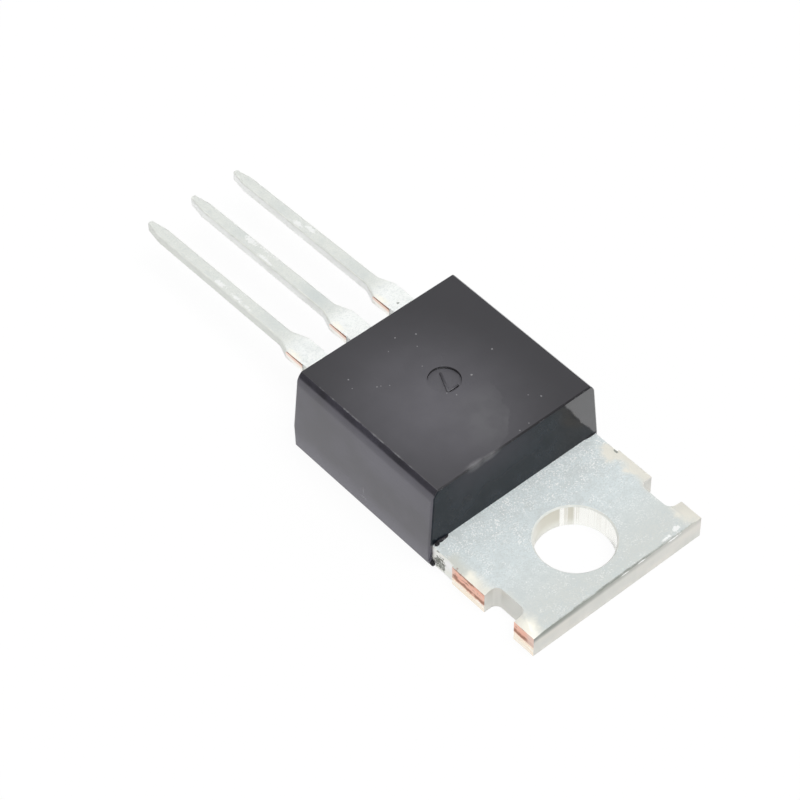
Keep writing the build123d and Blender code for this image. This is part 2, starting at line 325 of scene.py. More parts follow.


# Tin on the rolled faces: dull and cloudy, with painted glints on its crystals; creamier along the
# tab's sides, a painted reflection of their rolled edges, and smoother there, where the punch drew
# it over; calmer on the leads, with a scrape here and there, and a painted dark reflection along the
# upper edge of the free end.
CRYSTAL_GRAIN = 0.05 * MM
LEAD_CALM = 0.35     # how much of the tab's clouds and crystals the leads show
tin_plate, nodes, place = new_material("tin_plate")
x, y, _ = nodes.axes(place)
cloud = nodes.noise(place, 0.8 * MM, 4)
fine = nodes.noise(place, 0.09 * MM, 3)
mottle = nodes.noise(place, (0.45 * MM, 0.28 * MM, 0.4 * MM), 5)
cells = {"Vector": nodes.scale(place, 1 / CRYSTAL_GRAIN), "Scale": 1.0}
crystal = nodes.axes(nodes.add("ShaderNodeTexVoronoi", cells, out="Color"))[0]
shoulder = nodes.ramp(y, STUB_END_Y - 0.8 * MM, STUB_END_Y + 0.4 * MM)
colour = nodes.mix(shoulder, LEAD_TIN, SHOULDER_TIN)
colour = nodes.mix(nodes.ramp(y, BODY_REAR_Y, BODY_FRONT_Y), colour, TIN)
colour = nodes.mix(nodes.ramp(y, -1.2 * MM, 2.2 * MM), colour, END_TIN)
calm = nodes.ramp(y, BODY_REAR_Y, BODY_FRONT_Y, LEAD_CALM, 1.0)
colour = nodes.mix(nodes.times(nodes.ramp(cloud, 0.48, 0.75, 0.0, 0.75), calm), colour, SHADED_TIN)
colour = nodes.mix(nodes.times(nodes.ramp(fine, 0.35, 0.75, 0.0, 0.35), calm), colour, SHADED_TIN)
colour = nodes.mix(nodes.times(nodes.ramp(mottle, 0.50, 0.70, 0.0, 0.55), calm), colour, SHADED_TIN)
# Painted glints: crystals drawn brighter in the colour, more of them beside the body, fewer towards
# the free end and on the leads.
by_body = nodes.times(
    nodes.ramp(y, -1.6 * MM, -3.2 * MM), nodes.ramp(y, BODY_REAR_Y, BODY_FRONT_Y)
)
gather = nodes.math("ADD", nodes.noise(place, 0.5 * MM, 4), nodes.times(by_body, 0.14))
glint = nodes.times(nodes.ramp(crystal, 0.66, 1.0), nodes.ramp(gather, 0.36, 0.68))
glint = nodes.times(glint, nodes.ramp(y, -1.5 * MM, 0.5 * MM, 0.85, 0.45), calm)
colour = nodes.mix(glint, colour, BRIGHT_TIN)
colour = nodes.mix(nodes.times(nodes.ramp(crystal, 0.36, 0.04, 0.0, 0.8), calm), colour, SHADED_TIN)
side = nodes.math("ADD", nodes.math("ABSOLUTE", x), nodes.wander(place, 0.8 * MM, 0.45 * MM))
on_tab = nodes.ramp(y, BODY_FRONT_Y + 0.7 * MM, BODY_FRONT_Y + 1.1 * MM)
rolled = nodes.times(nodes.ramp(side, 4.0 * MM, 4.85 * MM), on_tab)
rubbed = nodes.times(nodes.ramp(x, 3 * MM, 4 * MM), nodes.ramp(y, -1.0 * MM, -1.8 * MM))
# Painted reflection of the rolled edges along the tab's sides, greyer near the +X corner by the body.
colour = nodes.mix(rolled, colour, nodes.mix(rubbed, ROLLED_EDGE_REFLECTION, RUBBED_TIN))
# Two darker stretches along the leads.
darker_stretch = spots(nodes, place, [
    ((0, -17.2, 2.8), (5, 1.5, 1), 1.0, 0.1),
    ((-1.3, -22.7, 2.8), (2.6, 1.2, 1), 1.0, 0.1),
], 0.8 * MM)
colour = nodes.mix(nodes.times(darker_stretch, 0.65), colour, SHADED_TIN)
# Cream patches by the ears: more of the same painted reflection, warmer towards +X.
cream = spots(nodes, place, [
    ((-4.55, -2.55, 1.27), (0.95, 0.95, 0.3), 1.0, 0.25),
    ((-4.75, -1.20, 1.27), (0.95, 1.00, 0.3), 1.0, 0.25),
    ((-4.75, 2.00, 1.27), (1.00, 0.95, 0.3), 1.0, 0.25),
    ((4.90, -1.40, 1.27), (0.80, 0.75, 0.3), 1.0, 0.20),
    ((4.85, 2.05, 1.27), (0.95, 0.95, 0.3), 1.0, 0.20),
], 0.35 * MM)
warm_reflection = nodes.mix(nodes.ramp(x, 0, 4 * MM), ROLLED_EDGE_REFLECTION, WARM_REFLECTION_TIN)
colour = nodes.mix(nodes.ramp(cream, 0.0, 0.9), colour, warm_reflection)
by_stub = spots(nodes, place, [
    ((-2.00, -15.05, 2.85), (0.30, 0.60, 0.3), 0.8, 0.3),
    ((0.55, -15.05, 2.85), (0.35, 0.65, 0.3), 0.8, 0.3),
    ((3.10, -15.05, 2.85), (0.35, 0.60, 0.3), 0.8, 0.3),
])
colour = nodes.mix(by_stub, colour, PALE_YELLOW)
scrapes = spots(nodes, place, [
    ((2.85, -18.7, 2.8), (0.23, 0.40, 0.3), 0.5, 0.4),
    ((2.75, -19.5, 2.8), (0.17, 0.58, 0.3), 0.5, 0.5),
    ((2.70, -20.8, 2.7), (0.20, 0.48, 0.3), 0.5, 0.4),
    ((-0.10, -22.0, 2.6), (0.19, 0.48, 0.3), 0.5, 0.4),
    ((0.25, -20.6, 2.6), (0.17, 0.68, 0.3), 0.5, 0.5),
    ((-0.30, -21.0, 2.6), (0.15, 1.60, 0.3), 0.6, 0.6),
    ((-2.40, -21.4, 2.6), (0.17, 0.34, 0.3), 0.5, 0.4),
    ((-2.60, -20.7, 2.6), (0.14, 0.38, 0.3), 0.5, 0.4),
    ((-2.15, -19.8, 2.6), (0.14, 0.50, 0.3), 0.5, 0.4),
    ((-3.60, 2.45, 1.27), (0.25, 0.14, 0.3), 0.4, 0.4),
    ((-2.90, 2.55, 1.27), (0.30, 0.08, 0.3), 0.4, 0.4),
])
colour = nodes.mix(nodes.times(scrapes, 0.8), colour, BRIGHT_TIN)
dark_spots = spots(nodes, place, [
    ((-4.72, -2.42, 1.27), (0.10, 0.16, 0.2), 0.4, 0.4),
    ((-2.45, -14.34, 2.85), (0.09, 0.09, 0.2), 0.5, 0.4),
])
# Painted dark reflection along the end's upper edge, and small dark spots at the −X notch and by the
# base lead's stub.
dark = nodes.math("MAXIMUM", end_edge_dark_reflection(nodes, place), nodes.times(dark_spots, 0.9))
colour = nodes.mix(dark, colour, DARK_SPOT_AND_SHADE)
torn_lip = spots(nodes, place, [
    ((4.89, -1.70, 1.27), (0.09, 0.70, 0.1), 0.4, 0.4),
    ((4.80, -2.22, 1.27), (0.10, 0.12, 0.1), 0.5, 0.5),
], 0.2 * MM)
colour = nodes.mix(nodes.times(torn_lip, 0.75), colour, DARK_COPPER)
smooth = nodes.math("MAXIMUM", rolled, scrapes)
matt = nodes.math("SUBTRACT", nodes.ramp(fine, 0.3, 0.7, 0.50, 0.60), nodes.times(smooth, 0.15))
height = nodes.math("ADD", fine, nodes.times(crystal, 0.3))
height = nodes.math("SUBTRACT", height, nodes.times(scrapes, 1.2))
relief = nodes.bump(height, 0.012 * MM, 0.5)
nodes.surface(Base_Color=colour, Metallic=DULL_METAL, Roughness=matt, Normal=relief)

# Sheared faces of the notches and the free end: tin smeared over by the punch, with painted shade
# under the free end's upper edge, deeper towards +X.
sheared, nodes, place = new_material("sheared_edge")
streak = nodes.use(streaks, Place=place, Grain=Vector((0.25, 0.25, 2.0)) * MM)
cloud = nodes.noise(place, (2.2 * MM, 2.2 * MM, 1.0 * MM), 3)
colour = nodes.mix(nodes.ramp(cloud, 0.35, 0.65), WARM_GREY, SHADED_GREY)
colour = nodes.mix(nodes.times(streak, 0.12), colour, SHADED_GREY)
x, y, z = nodes.axes(place)
# Painted shade under the upper edge of the free end, then the painted dark reflection along that
# edge.
free_end = nodes.ramp(y, (TAB_END_MM - 0.1) * MM, TAB_END_MM * MM)
painted_shade_under_edge = nodes.times(nodes.ramp(z, 0.80 * MM, 1.12 * MM), free_end)
painted_shade_under_edge = nodes.times(painted_shade_under_edge, nodes.ramp(x, -4 * MM, 4.6 * MM, 0.30, 0.95))
colour = nodes.mix(painted_shade_under_edge, colour, DARK_SPOT_AND_SHADE)
colour = nodes.mix(end_edge_dark_reflection(nodes, place), colour, DARK_SPOT_AND_SHADE)
# Bright nicks along the end's upper edge: small dents, their glints painted into the colour.
nicks_and_glints = spots(nodes, place, [
    ((-0.35, TAB_END_MM, 1.16), (0.28, 0.1, 0.05), 0.5, 0.3),
    ((-1.35, TAB_END_MM, 1.18), (0.30, 0.1, 0.06), 0.5, 0.4),
    ((-3.30, TAB_END_MM, 1.16), (0.45, 0.1, 0.07), 0.5, 0.5),
])
colour = nodes.mix(nicks_and_glints, colour, BRIGHT_TIN)
matt = nodes.ramp(streak, 0, 1, 0.42, 0.50)
relief = nodes.bump(streak, 0.006 * MM, 0.2)
nodes.surface(Base_Color=colour, Metallic=BRIGHT_METAL, Roughness=matt, Normal=relief)

# Wall of the hole: the punch burnished it in upright streaks, brighter towards one side.
hole_wall, nodes, place = new_material("hole_wall")
x, _, z = nodes.axes(place)
streak = nodes.ramp(nodes.noise(place, (0.10 * MM, 0.10 * MM, 4 * MM), 3), 0.50, 0.58)
ragged = nodes.math("ADD", x, nodes.wander(place, (0.5 * MM, 0.5 * MM, 1.5 * MM), 0.06 * MM))
from_band = nodes.math("ABSOLUTE", nodes.math("ADD", ragged, 1.08 * MM))
band = nodes.ramp(from_band, 0.11 * MM, 0.08 * MM)
drawn = nodes.math("MAXIMUM", nodes.ramp(ragged, -0.72 * MM, -0.66 * MM), band)
drawn = nodes.math("MAXIMUM", drawn, nodes.times(streak, nodes.ramp(x, -1.42 * MM, -1.36 * MM), 0.6))
drawn = nodes.math("MAXIMUM", drawn, nodes.times(streak, nodes.ramp(x, -1.42 * MM, -1.50 * MM), 0.12))
paler = nodes.math(
    "MAXIMUM", nodes.ramp(z, 0.60 * MM, 0.05 * MM), nodes.ramp(x, 0.10 * MM, 1.40 * MM)
)
drawn_tin = nodes.mix(nodes.times(paler, 0.8), DRAWN_TIN, CREAM_TIN)
colour = nodes.mix(drawn, WHITE_TIN, drawn_tin)
matt = nodes.ramp(drawn, 0, 1, 0.22, 0.34)
relief = nodes.bump(drawn, 0.004 * MM, 0.2)
nodes.surface(Base_Color=colour, Metallic=MIRROR_METAL, Roughness=matt, Normal=relief)

# Outer faces of the ears: burnished tin below, and above it the copper that tore bare, with
# dark broken tears along it.
TEARS = ((0.58, 0.17, 0.34), (0.86, 0.07, 0.52), (1.22, 0.16, 0.38))     # height, half width, gaps
ear_face, nodes, place = new_material("ear_face")
_, y, z = nodes.axes(place)
border = nodes.ramp(y, 0.0, 1.5 * MM, 0.0, 0.09 * MM)
ragged = nodes.wander(place, 0.7 * MM, 0.10 * MM)
ragged = nodes.math("ADD", ragged, nodes.wander(place, 0.22 * MM, 0.11 * MM))
level = nodes.math("SUBTRACT", nodes.math("ADD", z, ragged), border)
streak = nodes.use(streaks, Place=place, Grain=Vector((0.3, 1.1, 0.16)) * MM)
copper = nodes.ramp(level, 0.38 * MM, 0.50 * MM)
tears = None
for tear_level, half, gap in TEARS:
    off = nodes.math("ABSOLUTE", nodes.math("SUBTRACT", level, tear_level * MM))
    broken = nodes.noise(nodes.scale(place, 1 + tear_level), 0.7 * MM, 5)
    broken = nodes.ramp(broken, gap - 0.06, gap + 0.10)
    tear = nodes.times(nodes.ramp(off, half * MM, 0.2 * half * MM), broken)
    tears = tear if tears is None else nodes.math("MAXIMUM", tears, tear)
from_middle = nodes.math("ABSOLUTE", nodes.math("ADD", y, -0.02 * MM))
ear_end = nodes.ramp(from_middle, 2.12 * MM, 2.45 * MM)
tears = nodes.times(tears, nodes.ramp(ear_end, 0, 1, 1.0, 0.25))
tears = nodes.math("MAXIMUM", tears, spots(nodes, place, [
    ((4.89, -1.25, 1.12), (0.2, 0.32, 0.11), 0.6, 0.4),
    ((4.89, -2.20, 0.70), (0.2, 0.20, 0.16), 0.6, 0.4),
    ((4.89, -1.95, 1.22), (0.2, 0.32, 0.08), 0.6, 0.4),
    ((4.89, 2.05, 1.20), (0.2, 0.20, 0.06), 0.6, 0.4),
]))
burnished = nodes.mix(nodes.times(streak, 0.5), YELLOW_TIN, BRIGHT_TIN)
torn = nodes.mix(nodes.math("SUBTRACT", 1.0, streak), PALE_COPPER, COPPER)
torn = nodes.mix(nodes.times(ear_end, 0.45), torn, WARM_GREY)
torn = nodes.mix(nodes.times(tears, 0.80), torn, DARK_COPPER)
colour = nodes.mix(copper, burnished, torn)
metal = nodes.ramp(copper, 0, 1, MIRROR_METAL, 0.7)
matt = nodes.ramp(copper, 0, 1, 0.25, 0.42)
relief = nodes.bump(nodes.math("SUBTRACT", streak, tears), 0.006 * MM, 0.3)
nodes.surface(Base_Color=colour, Metallic=metal, Roughness=matt, Normal=relief)

# Sides of the neck beside the body: smeared tin, with dark mottled patches near the body.
neck_face, nodes, place = new_material("neck_face")
cloud = nodes.noise(place, 0.8 * MM, 3)
colour = nodes.mix(nodes.ramp(cloud, 0.35, 0.65), BRIGHT_TIN, CREAM_TIN)
dark_patches = spots(nodes, place, [
    ((4.78, -3.26, 0.50), (0.3, 0.36, 0.48), 0.3, 0.4),
    ((4.78, -3.40, 1.16), (0.3, 0.14, 0.10), 0.5, 0.5),
    ((-4.78, -2.40, 1.15), (0.3, 0.20, 0.12), 0.5, 0.5),
], 0.15 * MM)
mottle = nodes.ramp(nodes.noise(place, 0.12 * MM, 4), 0.36, 0.50)
colour = nodes.mix(nodes.times(dark_patches, mottle), colour, DARK_PATCH_GREY)
matt = nodes.ramp(cloud, 0.3, 0.7, 0.32, 0.4)
nodes.surface(Base_Color=colour, Metallic=BRIGHT_METAL, Roughness=matt)

# Narrow sides of the leads: sheared tin, a little duller than the rolled faces.
lead_side, nodes, place = new_material("lead_side")
x, _, _ = nodes.axes(place)
streak = nodes.use(streaks, Place=place, Grain=Vector((0.3, 1.5, 0.4)) * MM)
colour = nodes.mix(nodes.ramp(x, -0.5 * MM, 3.0 * MM), BRIGHT_TIN, LEAD_TIN)
colour = nodes.mix(nodes.times(streak, 0.4), colour, SIDE_TIN)
matt = nodes.ramp(streak, 0, 1, 0.42, 0.5)
relief = nodes.bump(streak, 0.01 * MM, 0.3)
nodes.surface(Base_Color=colour, Metallic=BRIGHT_METAL, Roughness=matt, Normal=relief)

# Broken edges of the leads and the hole: rubbed, and too rough to mirror anything.
rubbed_edge, nodes, place = new_material("rubbed_edge")
lighter = nodes.ramp(nodes.noise(place, 0.4 * MM, 4), 0.35, 0.65)
nodes.surface(Base_Color=nodes.mix(lighter, LEAD_TIN, SIDE_TIN), Metallic=0.0, Roughness=0.7)

# Stubs on the leads' shoulders, where the tie bar was cut off after plating: a dark lip at the
# top, copper under it that fades into smeared tin.
stub_face, nodes, place = new_material("stub_face")
_, _, z = nodes.axes(place)
level = nodes.math("ADD", z, nodes.wander(place, 0.35 * MM, 0.04 * MM))
copper = nodes.ramp(level, 2.42 * MM, 2.66 * MM)
broken = nodes.ramp(nodes.noise(place, 0.6 * MM), 0.26, 0.42)
dark_lip = nodes.times(nodes.ramp(level, 2.67 * MM, 2.73 * MM), broken)
colour = nodes.mix(nodes.times(copper, 0.65), STUB_TIN, PALE_COPPER)
colour = nodes.mix(nodes.times(dark_lip, 0.9), colour, DARK_COPPER)
matt = nodes.ramp(copper, 0, 1, 0.28, 0.40)
nodes.surface(Base_Color=colour, Metallic=MIRROR_METAL, Roughness=matt)


def anywhere(centre, normal):
    return True


def on_tab_edge(centre, normal):
    return abs(normal.z) < UPRIGHT and centre.y > BODY_FRONT_Y - UNDER_EPOXY


def on_neck(centre, normal):
    return abs(normal.x) > FACING and abs(centre.x) > NECK_HALF - 0.02 * MM


def on_ear(centre, normal):
    return abs(normal.x) > UPRIGHT and abs(centre.x) > TAB_HALF - TAB_EDGE_BREAK


def in_hole(centre, normal):
    return abs(normal.z) < UPRIGHT and centre.xy.length < HOLE_RADIUS


def on_hole_edge(centre, normal):
    return UPRIGHT < normal.z < FACING and centre.xy.length < HOLE_RADIUS + 0.05 * MM


def on_lead_edge(centre, normal):
    return abs(normal.z) < FACING and centre.y < BODY_REAR_Y + UNDER_EPOXY


def on_lead_side(centre, normal):
    return abs(normal.z) < UPRIGHT and centre.y < BODY_REAR_Y + UNDER_EPOXY


def on_stub(centre, normal):
    return abs(normal.x) > UPRIGHT and STUB_END_Y < centre.y < STUB_START_Y


copper_finishes = [
    (tin_plate, anywhere),
    (sheared, on_tab_edge),
    (neck_face, on_neck),
    (ear_face, on_ear),
    (hole_wall, in_hole),
    (rubbed_edge, on_lead_edge),
    (rubbed_edge, on_hole_edge),
    (lead_side, on_lead_side),
    (stub_face, on_stub),
]

heat_sink = merged_copy("heat_sink_tab", "tinned_heat_sink")
bpy.ops.mesh.primitive_cylinder_add(
    vertices=HOLE_SIDES, radius=HOLE_RADIUS, depth=4 * TAB_TOP, location=(0, 0, 0)
)
boolean(heat_sink, bpy.context.object)
break_edges(heat_sink, TAB_EDGE_BREAK)
face_finish(heat_sink, copper_finishes)
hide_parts("heat_sink_tab")

outer_leads = []
for node, name in (("base_lead", "tinned_base_lead"), ("emitter_lead", "tinned_emitter_lead")):
    lead = merged_copy(node, name)
    break_edges(lead, LEAD_EDGE_BREAK)
    face_finish(lead, copper_finishes)
    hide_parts(node)
    outer_leads.append(lead)

for piece in (heat_sink, *outer_leads):
    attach(piece, "root")


# --- Chip, solder and bond wires ---------------------------------------------------------------
# A silicon chip on a solder layer, with aluminium wires pressed to its pads. They are sealed in
# the epoxy, so their CAD solids stay and only take a finish.
DARK_SILICON, PALE_SILICON = (0.20, 0.21, 0.25, 1), (0.30, 0.31, 0.36, 1)
DARK_SOLDER, PALE_SOLDER = (0.42, 0.42, 0.43, 1), (0.62, 0.62, 0.63, 1)
DARK_WIRE, PALE_WIRE = (0.80, 0.80, 0.81, 1), (0.90, 0.90, 0.91, 1)

silicon, nodes, place = new_material("silicon")
tone = nodes.noise(place, 0.4 * MM)
colour = nodes.mix(tone, DARK_SILICON, PALE_SILICON)
nodes.surface(Base_Color=colour, Metallic=0.6, Roughness=nodes.ramp(tone, 0.3, 0.7, 0.12, 0.2))

solder, nodes, place = new_material("dull_solder")
tone = nodes.noise(place, 0.2 * MM, 4)
colour = nodes.mix(tone, DARK_SOLDER, PALE_SOLDER)
nodes.surface(Base_Color=colour, Metallic=1.0, Roughness=nodes.ramp(tone, 0.3, 0.7, 0.4, 0.6))

drawn_wire, nodes, place = new_material("drawn_aluminium")
tone = nodes.noise(place, 0.05 * MM, 3)
colour = nodes.mix(tone, DARK_WIRE, PALE_WIRE)
nodes.surface(Base_Color=colour, Metallic=1.0, Roughness=nodes.ramp(tone, 0.3, 0.7, 0.25, 0.4))

inside_finish = {
    "transistor_chip": silicon,
    "chip_solder": solder,
    "base_bond_wire": drawn_wire,
    "emitter_bond_wire_1": drawn_wire,
    "emitter_bond_wire_2": drawn_wire,
}
for node, finish in inside_finish.items():
    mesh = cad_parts[node].data
    mesh.materials.clear()
    mesh.materials.append(finish)


# --- Moulded body ------------------------------------------------------------------------------
# Black epoxy, moulded in one shot round the metal: matt on top, glossy on the drafted walls. An
# ejector pin left the round mark on top, and the raised figure in it numbers the mould's cavity.
CHAMFER_WIDTH, CHAMFER_HEIGHT = 0.30 * MM, 0.35 * MM
SIDE_SLOPE, END_SLOPE, LOWER_SLOPE = (tan(radians(angle)) for angle in (5.0, 1.5, 0.7))
CORNER_ROUNDING, SIDE_ROUNDING = 0.15 * MM, 0.28 * MM
END_ROUNDING, SMALL_ROUNDING = 0.07 * MM, 0.04 * MM
NEAR = 0.01 * MM     # heights that differ by less are the same
WALL_FACING = 0.7    # FACING for a wall together with its rounded corners
LEAN = 0.1           # how far a rounded edge's normal lies along both of its axes, at least
MARK_CENTRE, MARK_RADIUS = Vector((0.05, -8.36, 4.5)) * MM, 0.76 * MM
MARK_DEPTH, MARK_SIDES = 0.14 * MM, 96
BELOW_MARK = 4 * MM
FIGURE_SIZE, FIGURE_HEIGHT, FIGURE_THINNING = 1.70 * MM, 0.07 * MM, 0.035 * MM
FLASH = (
    ((4.30, -3.77, 1.27), (0.40, 0.13, 0.05)),
    ((4.60, -3.68, 1.27), (0.13, 0.09, 0.06)),
    ((-4.45, -3.78, 1.27), (0.38, 0.05, 0.04)),
    ((4.88, -3.74, 0.18), (0.08, 0.20, 0.12)),
)
FLASH_ROUGHNESS, FLASH_GRAIN = 0.25, 0.12 * MM
SHADE_ANGLE = radians(40)     # the body's edges blunter than this are shaded smooth


def choose_faces(piece, fits):
    """In edit mode, select only the faces whose centre and normal pass a test."""
    bpy.ops.mesh.select_all(action="DESELECT")
    mesh = bmesh.from_edit_mesh(piece.data)
    for face in mesh.faces:
        if fits(face.calc_center_median(), face.normal):
            face.select_set(True)
    bmesh.update_edit_mesh(piece.data)


def choose_edges(piece, fits):
    """In edit mode, select only the edges whose two ends pass a test."""
    bpy.ops.mesh.select_all(action="DESELECT")
    mesh = bmesh.from_edit_mesh(piece.data)
    for edge in mesh.edges:
        if fits(edge.verts[0].co, edge.verts[1].co):
            edge.select_set(True)
    mesh.select_flush_mode()
    bmesh.update_edit_mesh(piece.data)


def round_edges(piece, width, fits):
    """In edit mode, mark the edges whose ends pass a test to be rounded by so much."""
    choose_edges(piece, fits)
    bpy.ops.transform.edge_bevelweight(value=width / SIDE_ROUNDING)


# The block up to the parting line, then one level to the chamfer and one to the top.
body_low, body_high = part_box("moulded_body")
wide, long = body_high.x - body_low.x, body_high.y - body_low.y
middle = (body_low.y + body_high.y) / 2
bpy.ops.mesh.primitive_cube_add(
    size=1, location=(0, middle, TAB_TOP / 2), scale=(wide, long, TAB_TOP)
)
body = bpy.context.object
body.name = "epoxy_body"
bpy.ops.object.transform_apply(location=True, rotation=True, scale=True)
bpy.ops.object.mode_set(mode="EDIT")
bpy.ops.mesh.select_mode(type="FACE")
choose_faces(body, lambda centre, normal: normal.z < -FACING)
inset = 2 * TAB_TOP * LOWER_SLOPE
bpy.ops.transform.resize(
    value=(1 - inset / wide, 1 - inset / long, 1), center_override=(0, middle, 0)
)
choose_faces(body, lambda centre, normal: normal.z > FACING)
chamfer_foot = body_high.z - CHAMFER_HEIGHT
wall = chamfer_foot - TAB_TOP
for rise, side_inset in ((wall, wall * SIDE_SLOPE), (CHAMFER_HEIGHT, CHAMFER_WIDTH)):
    bpy.ops.mesh.extrude_region_move(TRANSFORM_OT_translate={"value": (0, 0, rise)})
    new_wide, new_long = wide - 2 * side_inset, long - 2 * rise * END_SLOPE
    bpy.ops.transform.resize(
        value=(new_wide / wide, new_long / long, 1), center_override=(0, middle, 0)
    )
    wide, long = new_wide, new_long


def rises(a, b):
    return abs(a.z - b.z) > NEAR


def on_top(a, b):
    return min(a.z, b.z) > body_high.z - NEAR


def corner(a, b):
    return rises(a, b) and min(a.z, b.z) < chamfer_foot - NEAR


def chamfer_corner(a, b):
    return rises(a, b) and min(a.z, b.z) > chamfer_foot - NEAR


def chamfer_foot_side(a, b):
    level = abs(a.z - chamfer_foot) + abs(b.z - chamfer_foot) < NEAR
    return level and abs(a.x - b.x) < NEAR


def top_side(a, b):
    return on_top(a, b) and abs(a.x - b.x) < NEAR


def top_end(a, b):
    return on_top(a, b) and abs(a.y - b.y) < NEAR


def underside_edge(a, b):
    return max(a.z, b.z) < NEAR


round_edges(body, CORNER_ROUNDING, corner)
round_edges(body, SMALL_ROUNDING, chamfer_corner)
round_edges(body, SIDE_ROUNDING, chamfer_foot_side)
round_edges(body, SMALL_ROUNDING, top_side)
round_edges(body, END_ROUNDING, top_end)
round_edges(body, SMALL_ROUNDING, underside_edge)
bpy.ops.object.mode_set(mode="OBJECT")
apply_modifier(body, "BEVEL", width=SIDE_ROUNDING, segments=5, limit_method="WEIGHT")

# Flash: thin beads of epoxy that crept out at the corners of the mould.
creep = bpy.data.textures.new("creep", "CLOUDS")
creep.noise_scale = FLASH_GRAIN
for place, half_size in FLASH:
    bpy.ops.mesh.primitive_ico_sphere_add(subdivisions=4, radius=1, location=Vector(place) * MM)
    bead = bpy.context.object
    bead.scale = Vector(half_size) * MM
    bpy.ops.object.transform_apply(location=True, rotation=True, scale=True)
    apply_modifier(
        bead, "DISPLACE", texture=creep, texture_coords="GLOBAL",
        strength=FLASH_ROUGHNESS * 2 * half_size[1] * MM, mid_level=0.5,
    )
    boolean(body, bead, "UNION")

# The round mark, and the raised figure on its floor.
bpy.ops.mesh.primitive_cylinder_add(
    vertices=MARK_SIDES, radius=MARK_RADIUS, depth=2 * MARK_DEPTH, location=MARK_CENTRE
)
boolean(body, bpy.context.object)
bpy.ops.object.text_add(location=(0, 0, 0))
figure = bpy.context.object
figure.data.body = "7"
figure.data.align_x, figure.data.align_y = "CENTER", "CENTER"
figure.data.size = FIGURE_SIZE
figure.data.extrude = FIGURE_HEIGHT
figure.data.offset = -FIGURE_THINNING
take(figure)
bpy.ops.object.convert(target="MESH")
figure.location = MARK_CENTRE - Vector((0, 0, MARK_DEPTH))
take(figure)
bpy.ops.object.transform_apply(location=True, rotation=True, scale=True)
boolean(body, figure, "UNION")

# Everything that the epoxy was moulded round leaves its own hollow in it.
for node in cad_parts:
    if node != "moulded_body":
        boolean(body, merged_copy(node, "tool"))
apply_modifier(body, "WELD", merge_threshold=MERGE_DISTANCE)

BLACK_EPOXY = (0.014, 0.013, 0.016, 1)
MATT_EPOXY = (0.038, 0.037, 0.042, 1)
HIGHLIGHT_EPOXY = (0.103, 0.100, 0.113, 1)
GREY_EPOXY = (0.058, 0.055, 0.076, 1)
SMUDGE_GREY = (0.125, 0.125, 0.132, 1)
SLATE_EPOXY = (0.008, 0.012, 0.018, 1)
BLUE_EPOXY = (0.015, 0.021, 0.030, 1)
PAINTED_SHEEN_EPOXY = (0.032, 0.032, 0.042, 1)
SPECK_AND_HIGHLIGHT_GREY = (0.30, 0.30, 0.31, 1)
VIOLET = (0.93, 0.91, 1.0, 1)
SCUFF = (
    ((2.25, -3.93, 4.42), (0.70, 0.22, 0.38), 0.9, 0.10),
    ((1.45, -3.88, 4.40), (0.70, 0.16, 0.24), 0.9, 0.10),
)
SPECKS = (
    (-2.69, -8.31, 0.055), (-0.78, -11.18, 0.055), (-0.35, -10.60, 0.035), (0.05, -11.62, 0.045),
    (2.51, -9.96, 0.045), (2.36, -9.89, 0.035), (2.05, -9.66, 0.035), (0.26, -9.58, 0.03),
    (0.24, -7.35, 0.045), (-1.01, -7.78, 0.06), (-2.44, -4.88, 0.05), (-2.07, -5.30, 0.04),
    (-0.43, -4.05, 0.045), (-1.00, -4.10, 0.035), (0.49, -7.70, 0.035), (3.17, -11.10, 0.05),
    (0.80, -11.20, 0.035), (3.38, -10.60, 0.035),
)


def painted_edge_highlight(nodes, place):
    """Mask of the pale, broken line along the +X edge of the top, a painted highlight on its
    rounding.
    """
    line = spots(nodes, place, [((4.39, -8.40, 4.50), (0.05, 4.50, 0.05), 0.6, 0.3)])
    return nodes.times(line, nodes.ramp(nodes.noise(place, 0.45 * MM, 5), 0.44, 0.66), 0.40)


# The top: a spark-eroded matt grain, with a painted highlight in the middle, a smudge that ends at a
# crisp border towards the tab, pale specks, a scuff on the edge and a painted highlight along its +X
# edge.
matt_epoxy, nodes, place = new_material("matt_epoxy")
x, y, _ = nodes.axes(place)
cloud = nodes.noise(place, 1.1 * MM, 5)
fine = nodes.noise(place, 0.05 * MM, 3)
# Painted highlight: the lighter middle of the top, standing in for a soft lamp's reflection.
painted_highlight = spots(nodes, place, [((1.4, -7.3, 4.5), (5.6, 6.8, 9), 1.0, 0.02)], 1.0 * MM)
painted_highlight = nodes.times(painted_highlight, nodes.ramp(cloud, 0.2, 0.8, 0.88, 1.08))
colour = nodes.mix(painted_highlight, MATT_EPOXY, HIGHLIGHT_EPOXY)
smudge = spots(nodes, place, [((1.6, -6.9, 4.5), (2.95, 3.1, 9), 0.04, 0.09)], 0.9 * MM)
smudge = nodes.times(
    smudge, nodes.ramp(x, 2.2 * MM, 0.2 * MM), nodes.ramp(y, -7.4 * MM, -6.2 * MM)
)
smudge = nodes.times(smudge, nodes.ramp(cloud, 0.35, 0.65, 0.2, 0.5))
colour = nodes.mix(smudge, colour, SMUDGE_GREY)
scuff = spots(nodes, place, SCUFF)
rows = [((at_x, at_y, 4.5), (size, size, 0.2), 0.6, 0.4) for at_x, at_y, size in SPECKS]
specks = spots(nodes, place, rows, 0.06 * MM)
marks = nodes.math("MAXIMUM", nodes.times(specks, 0.8), nodes.times(scuff, 0.4))
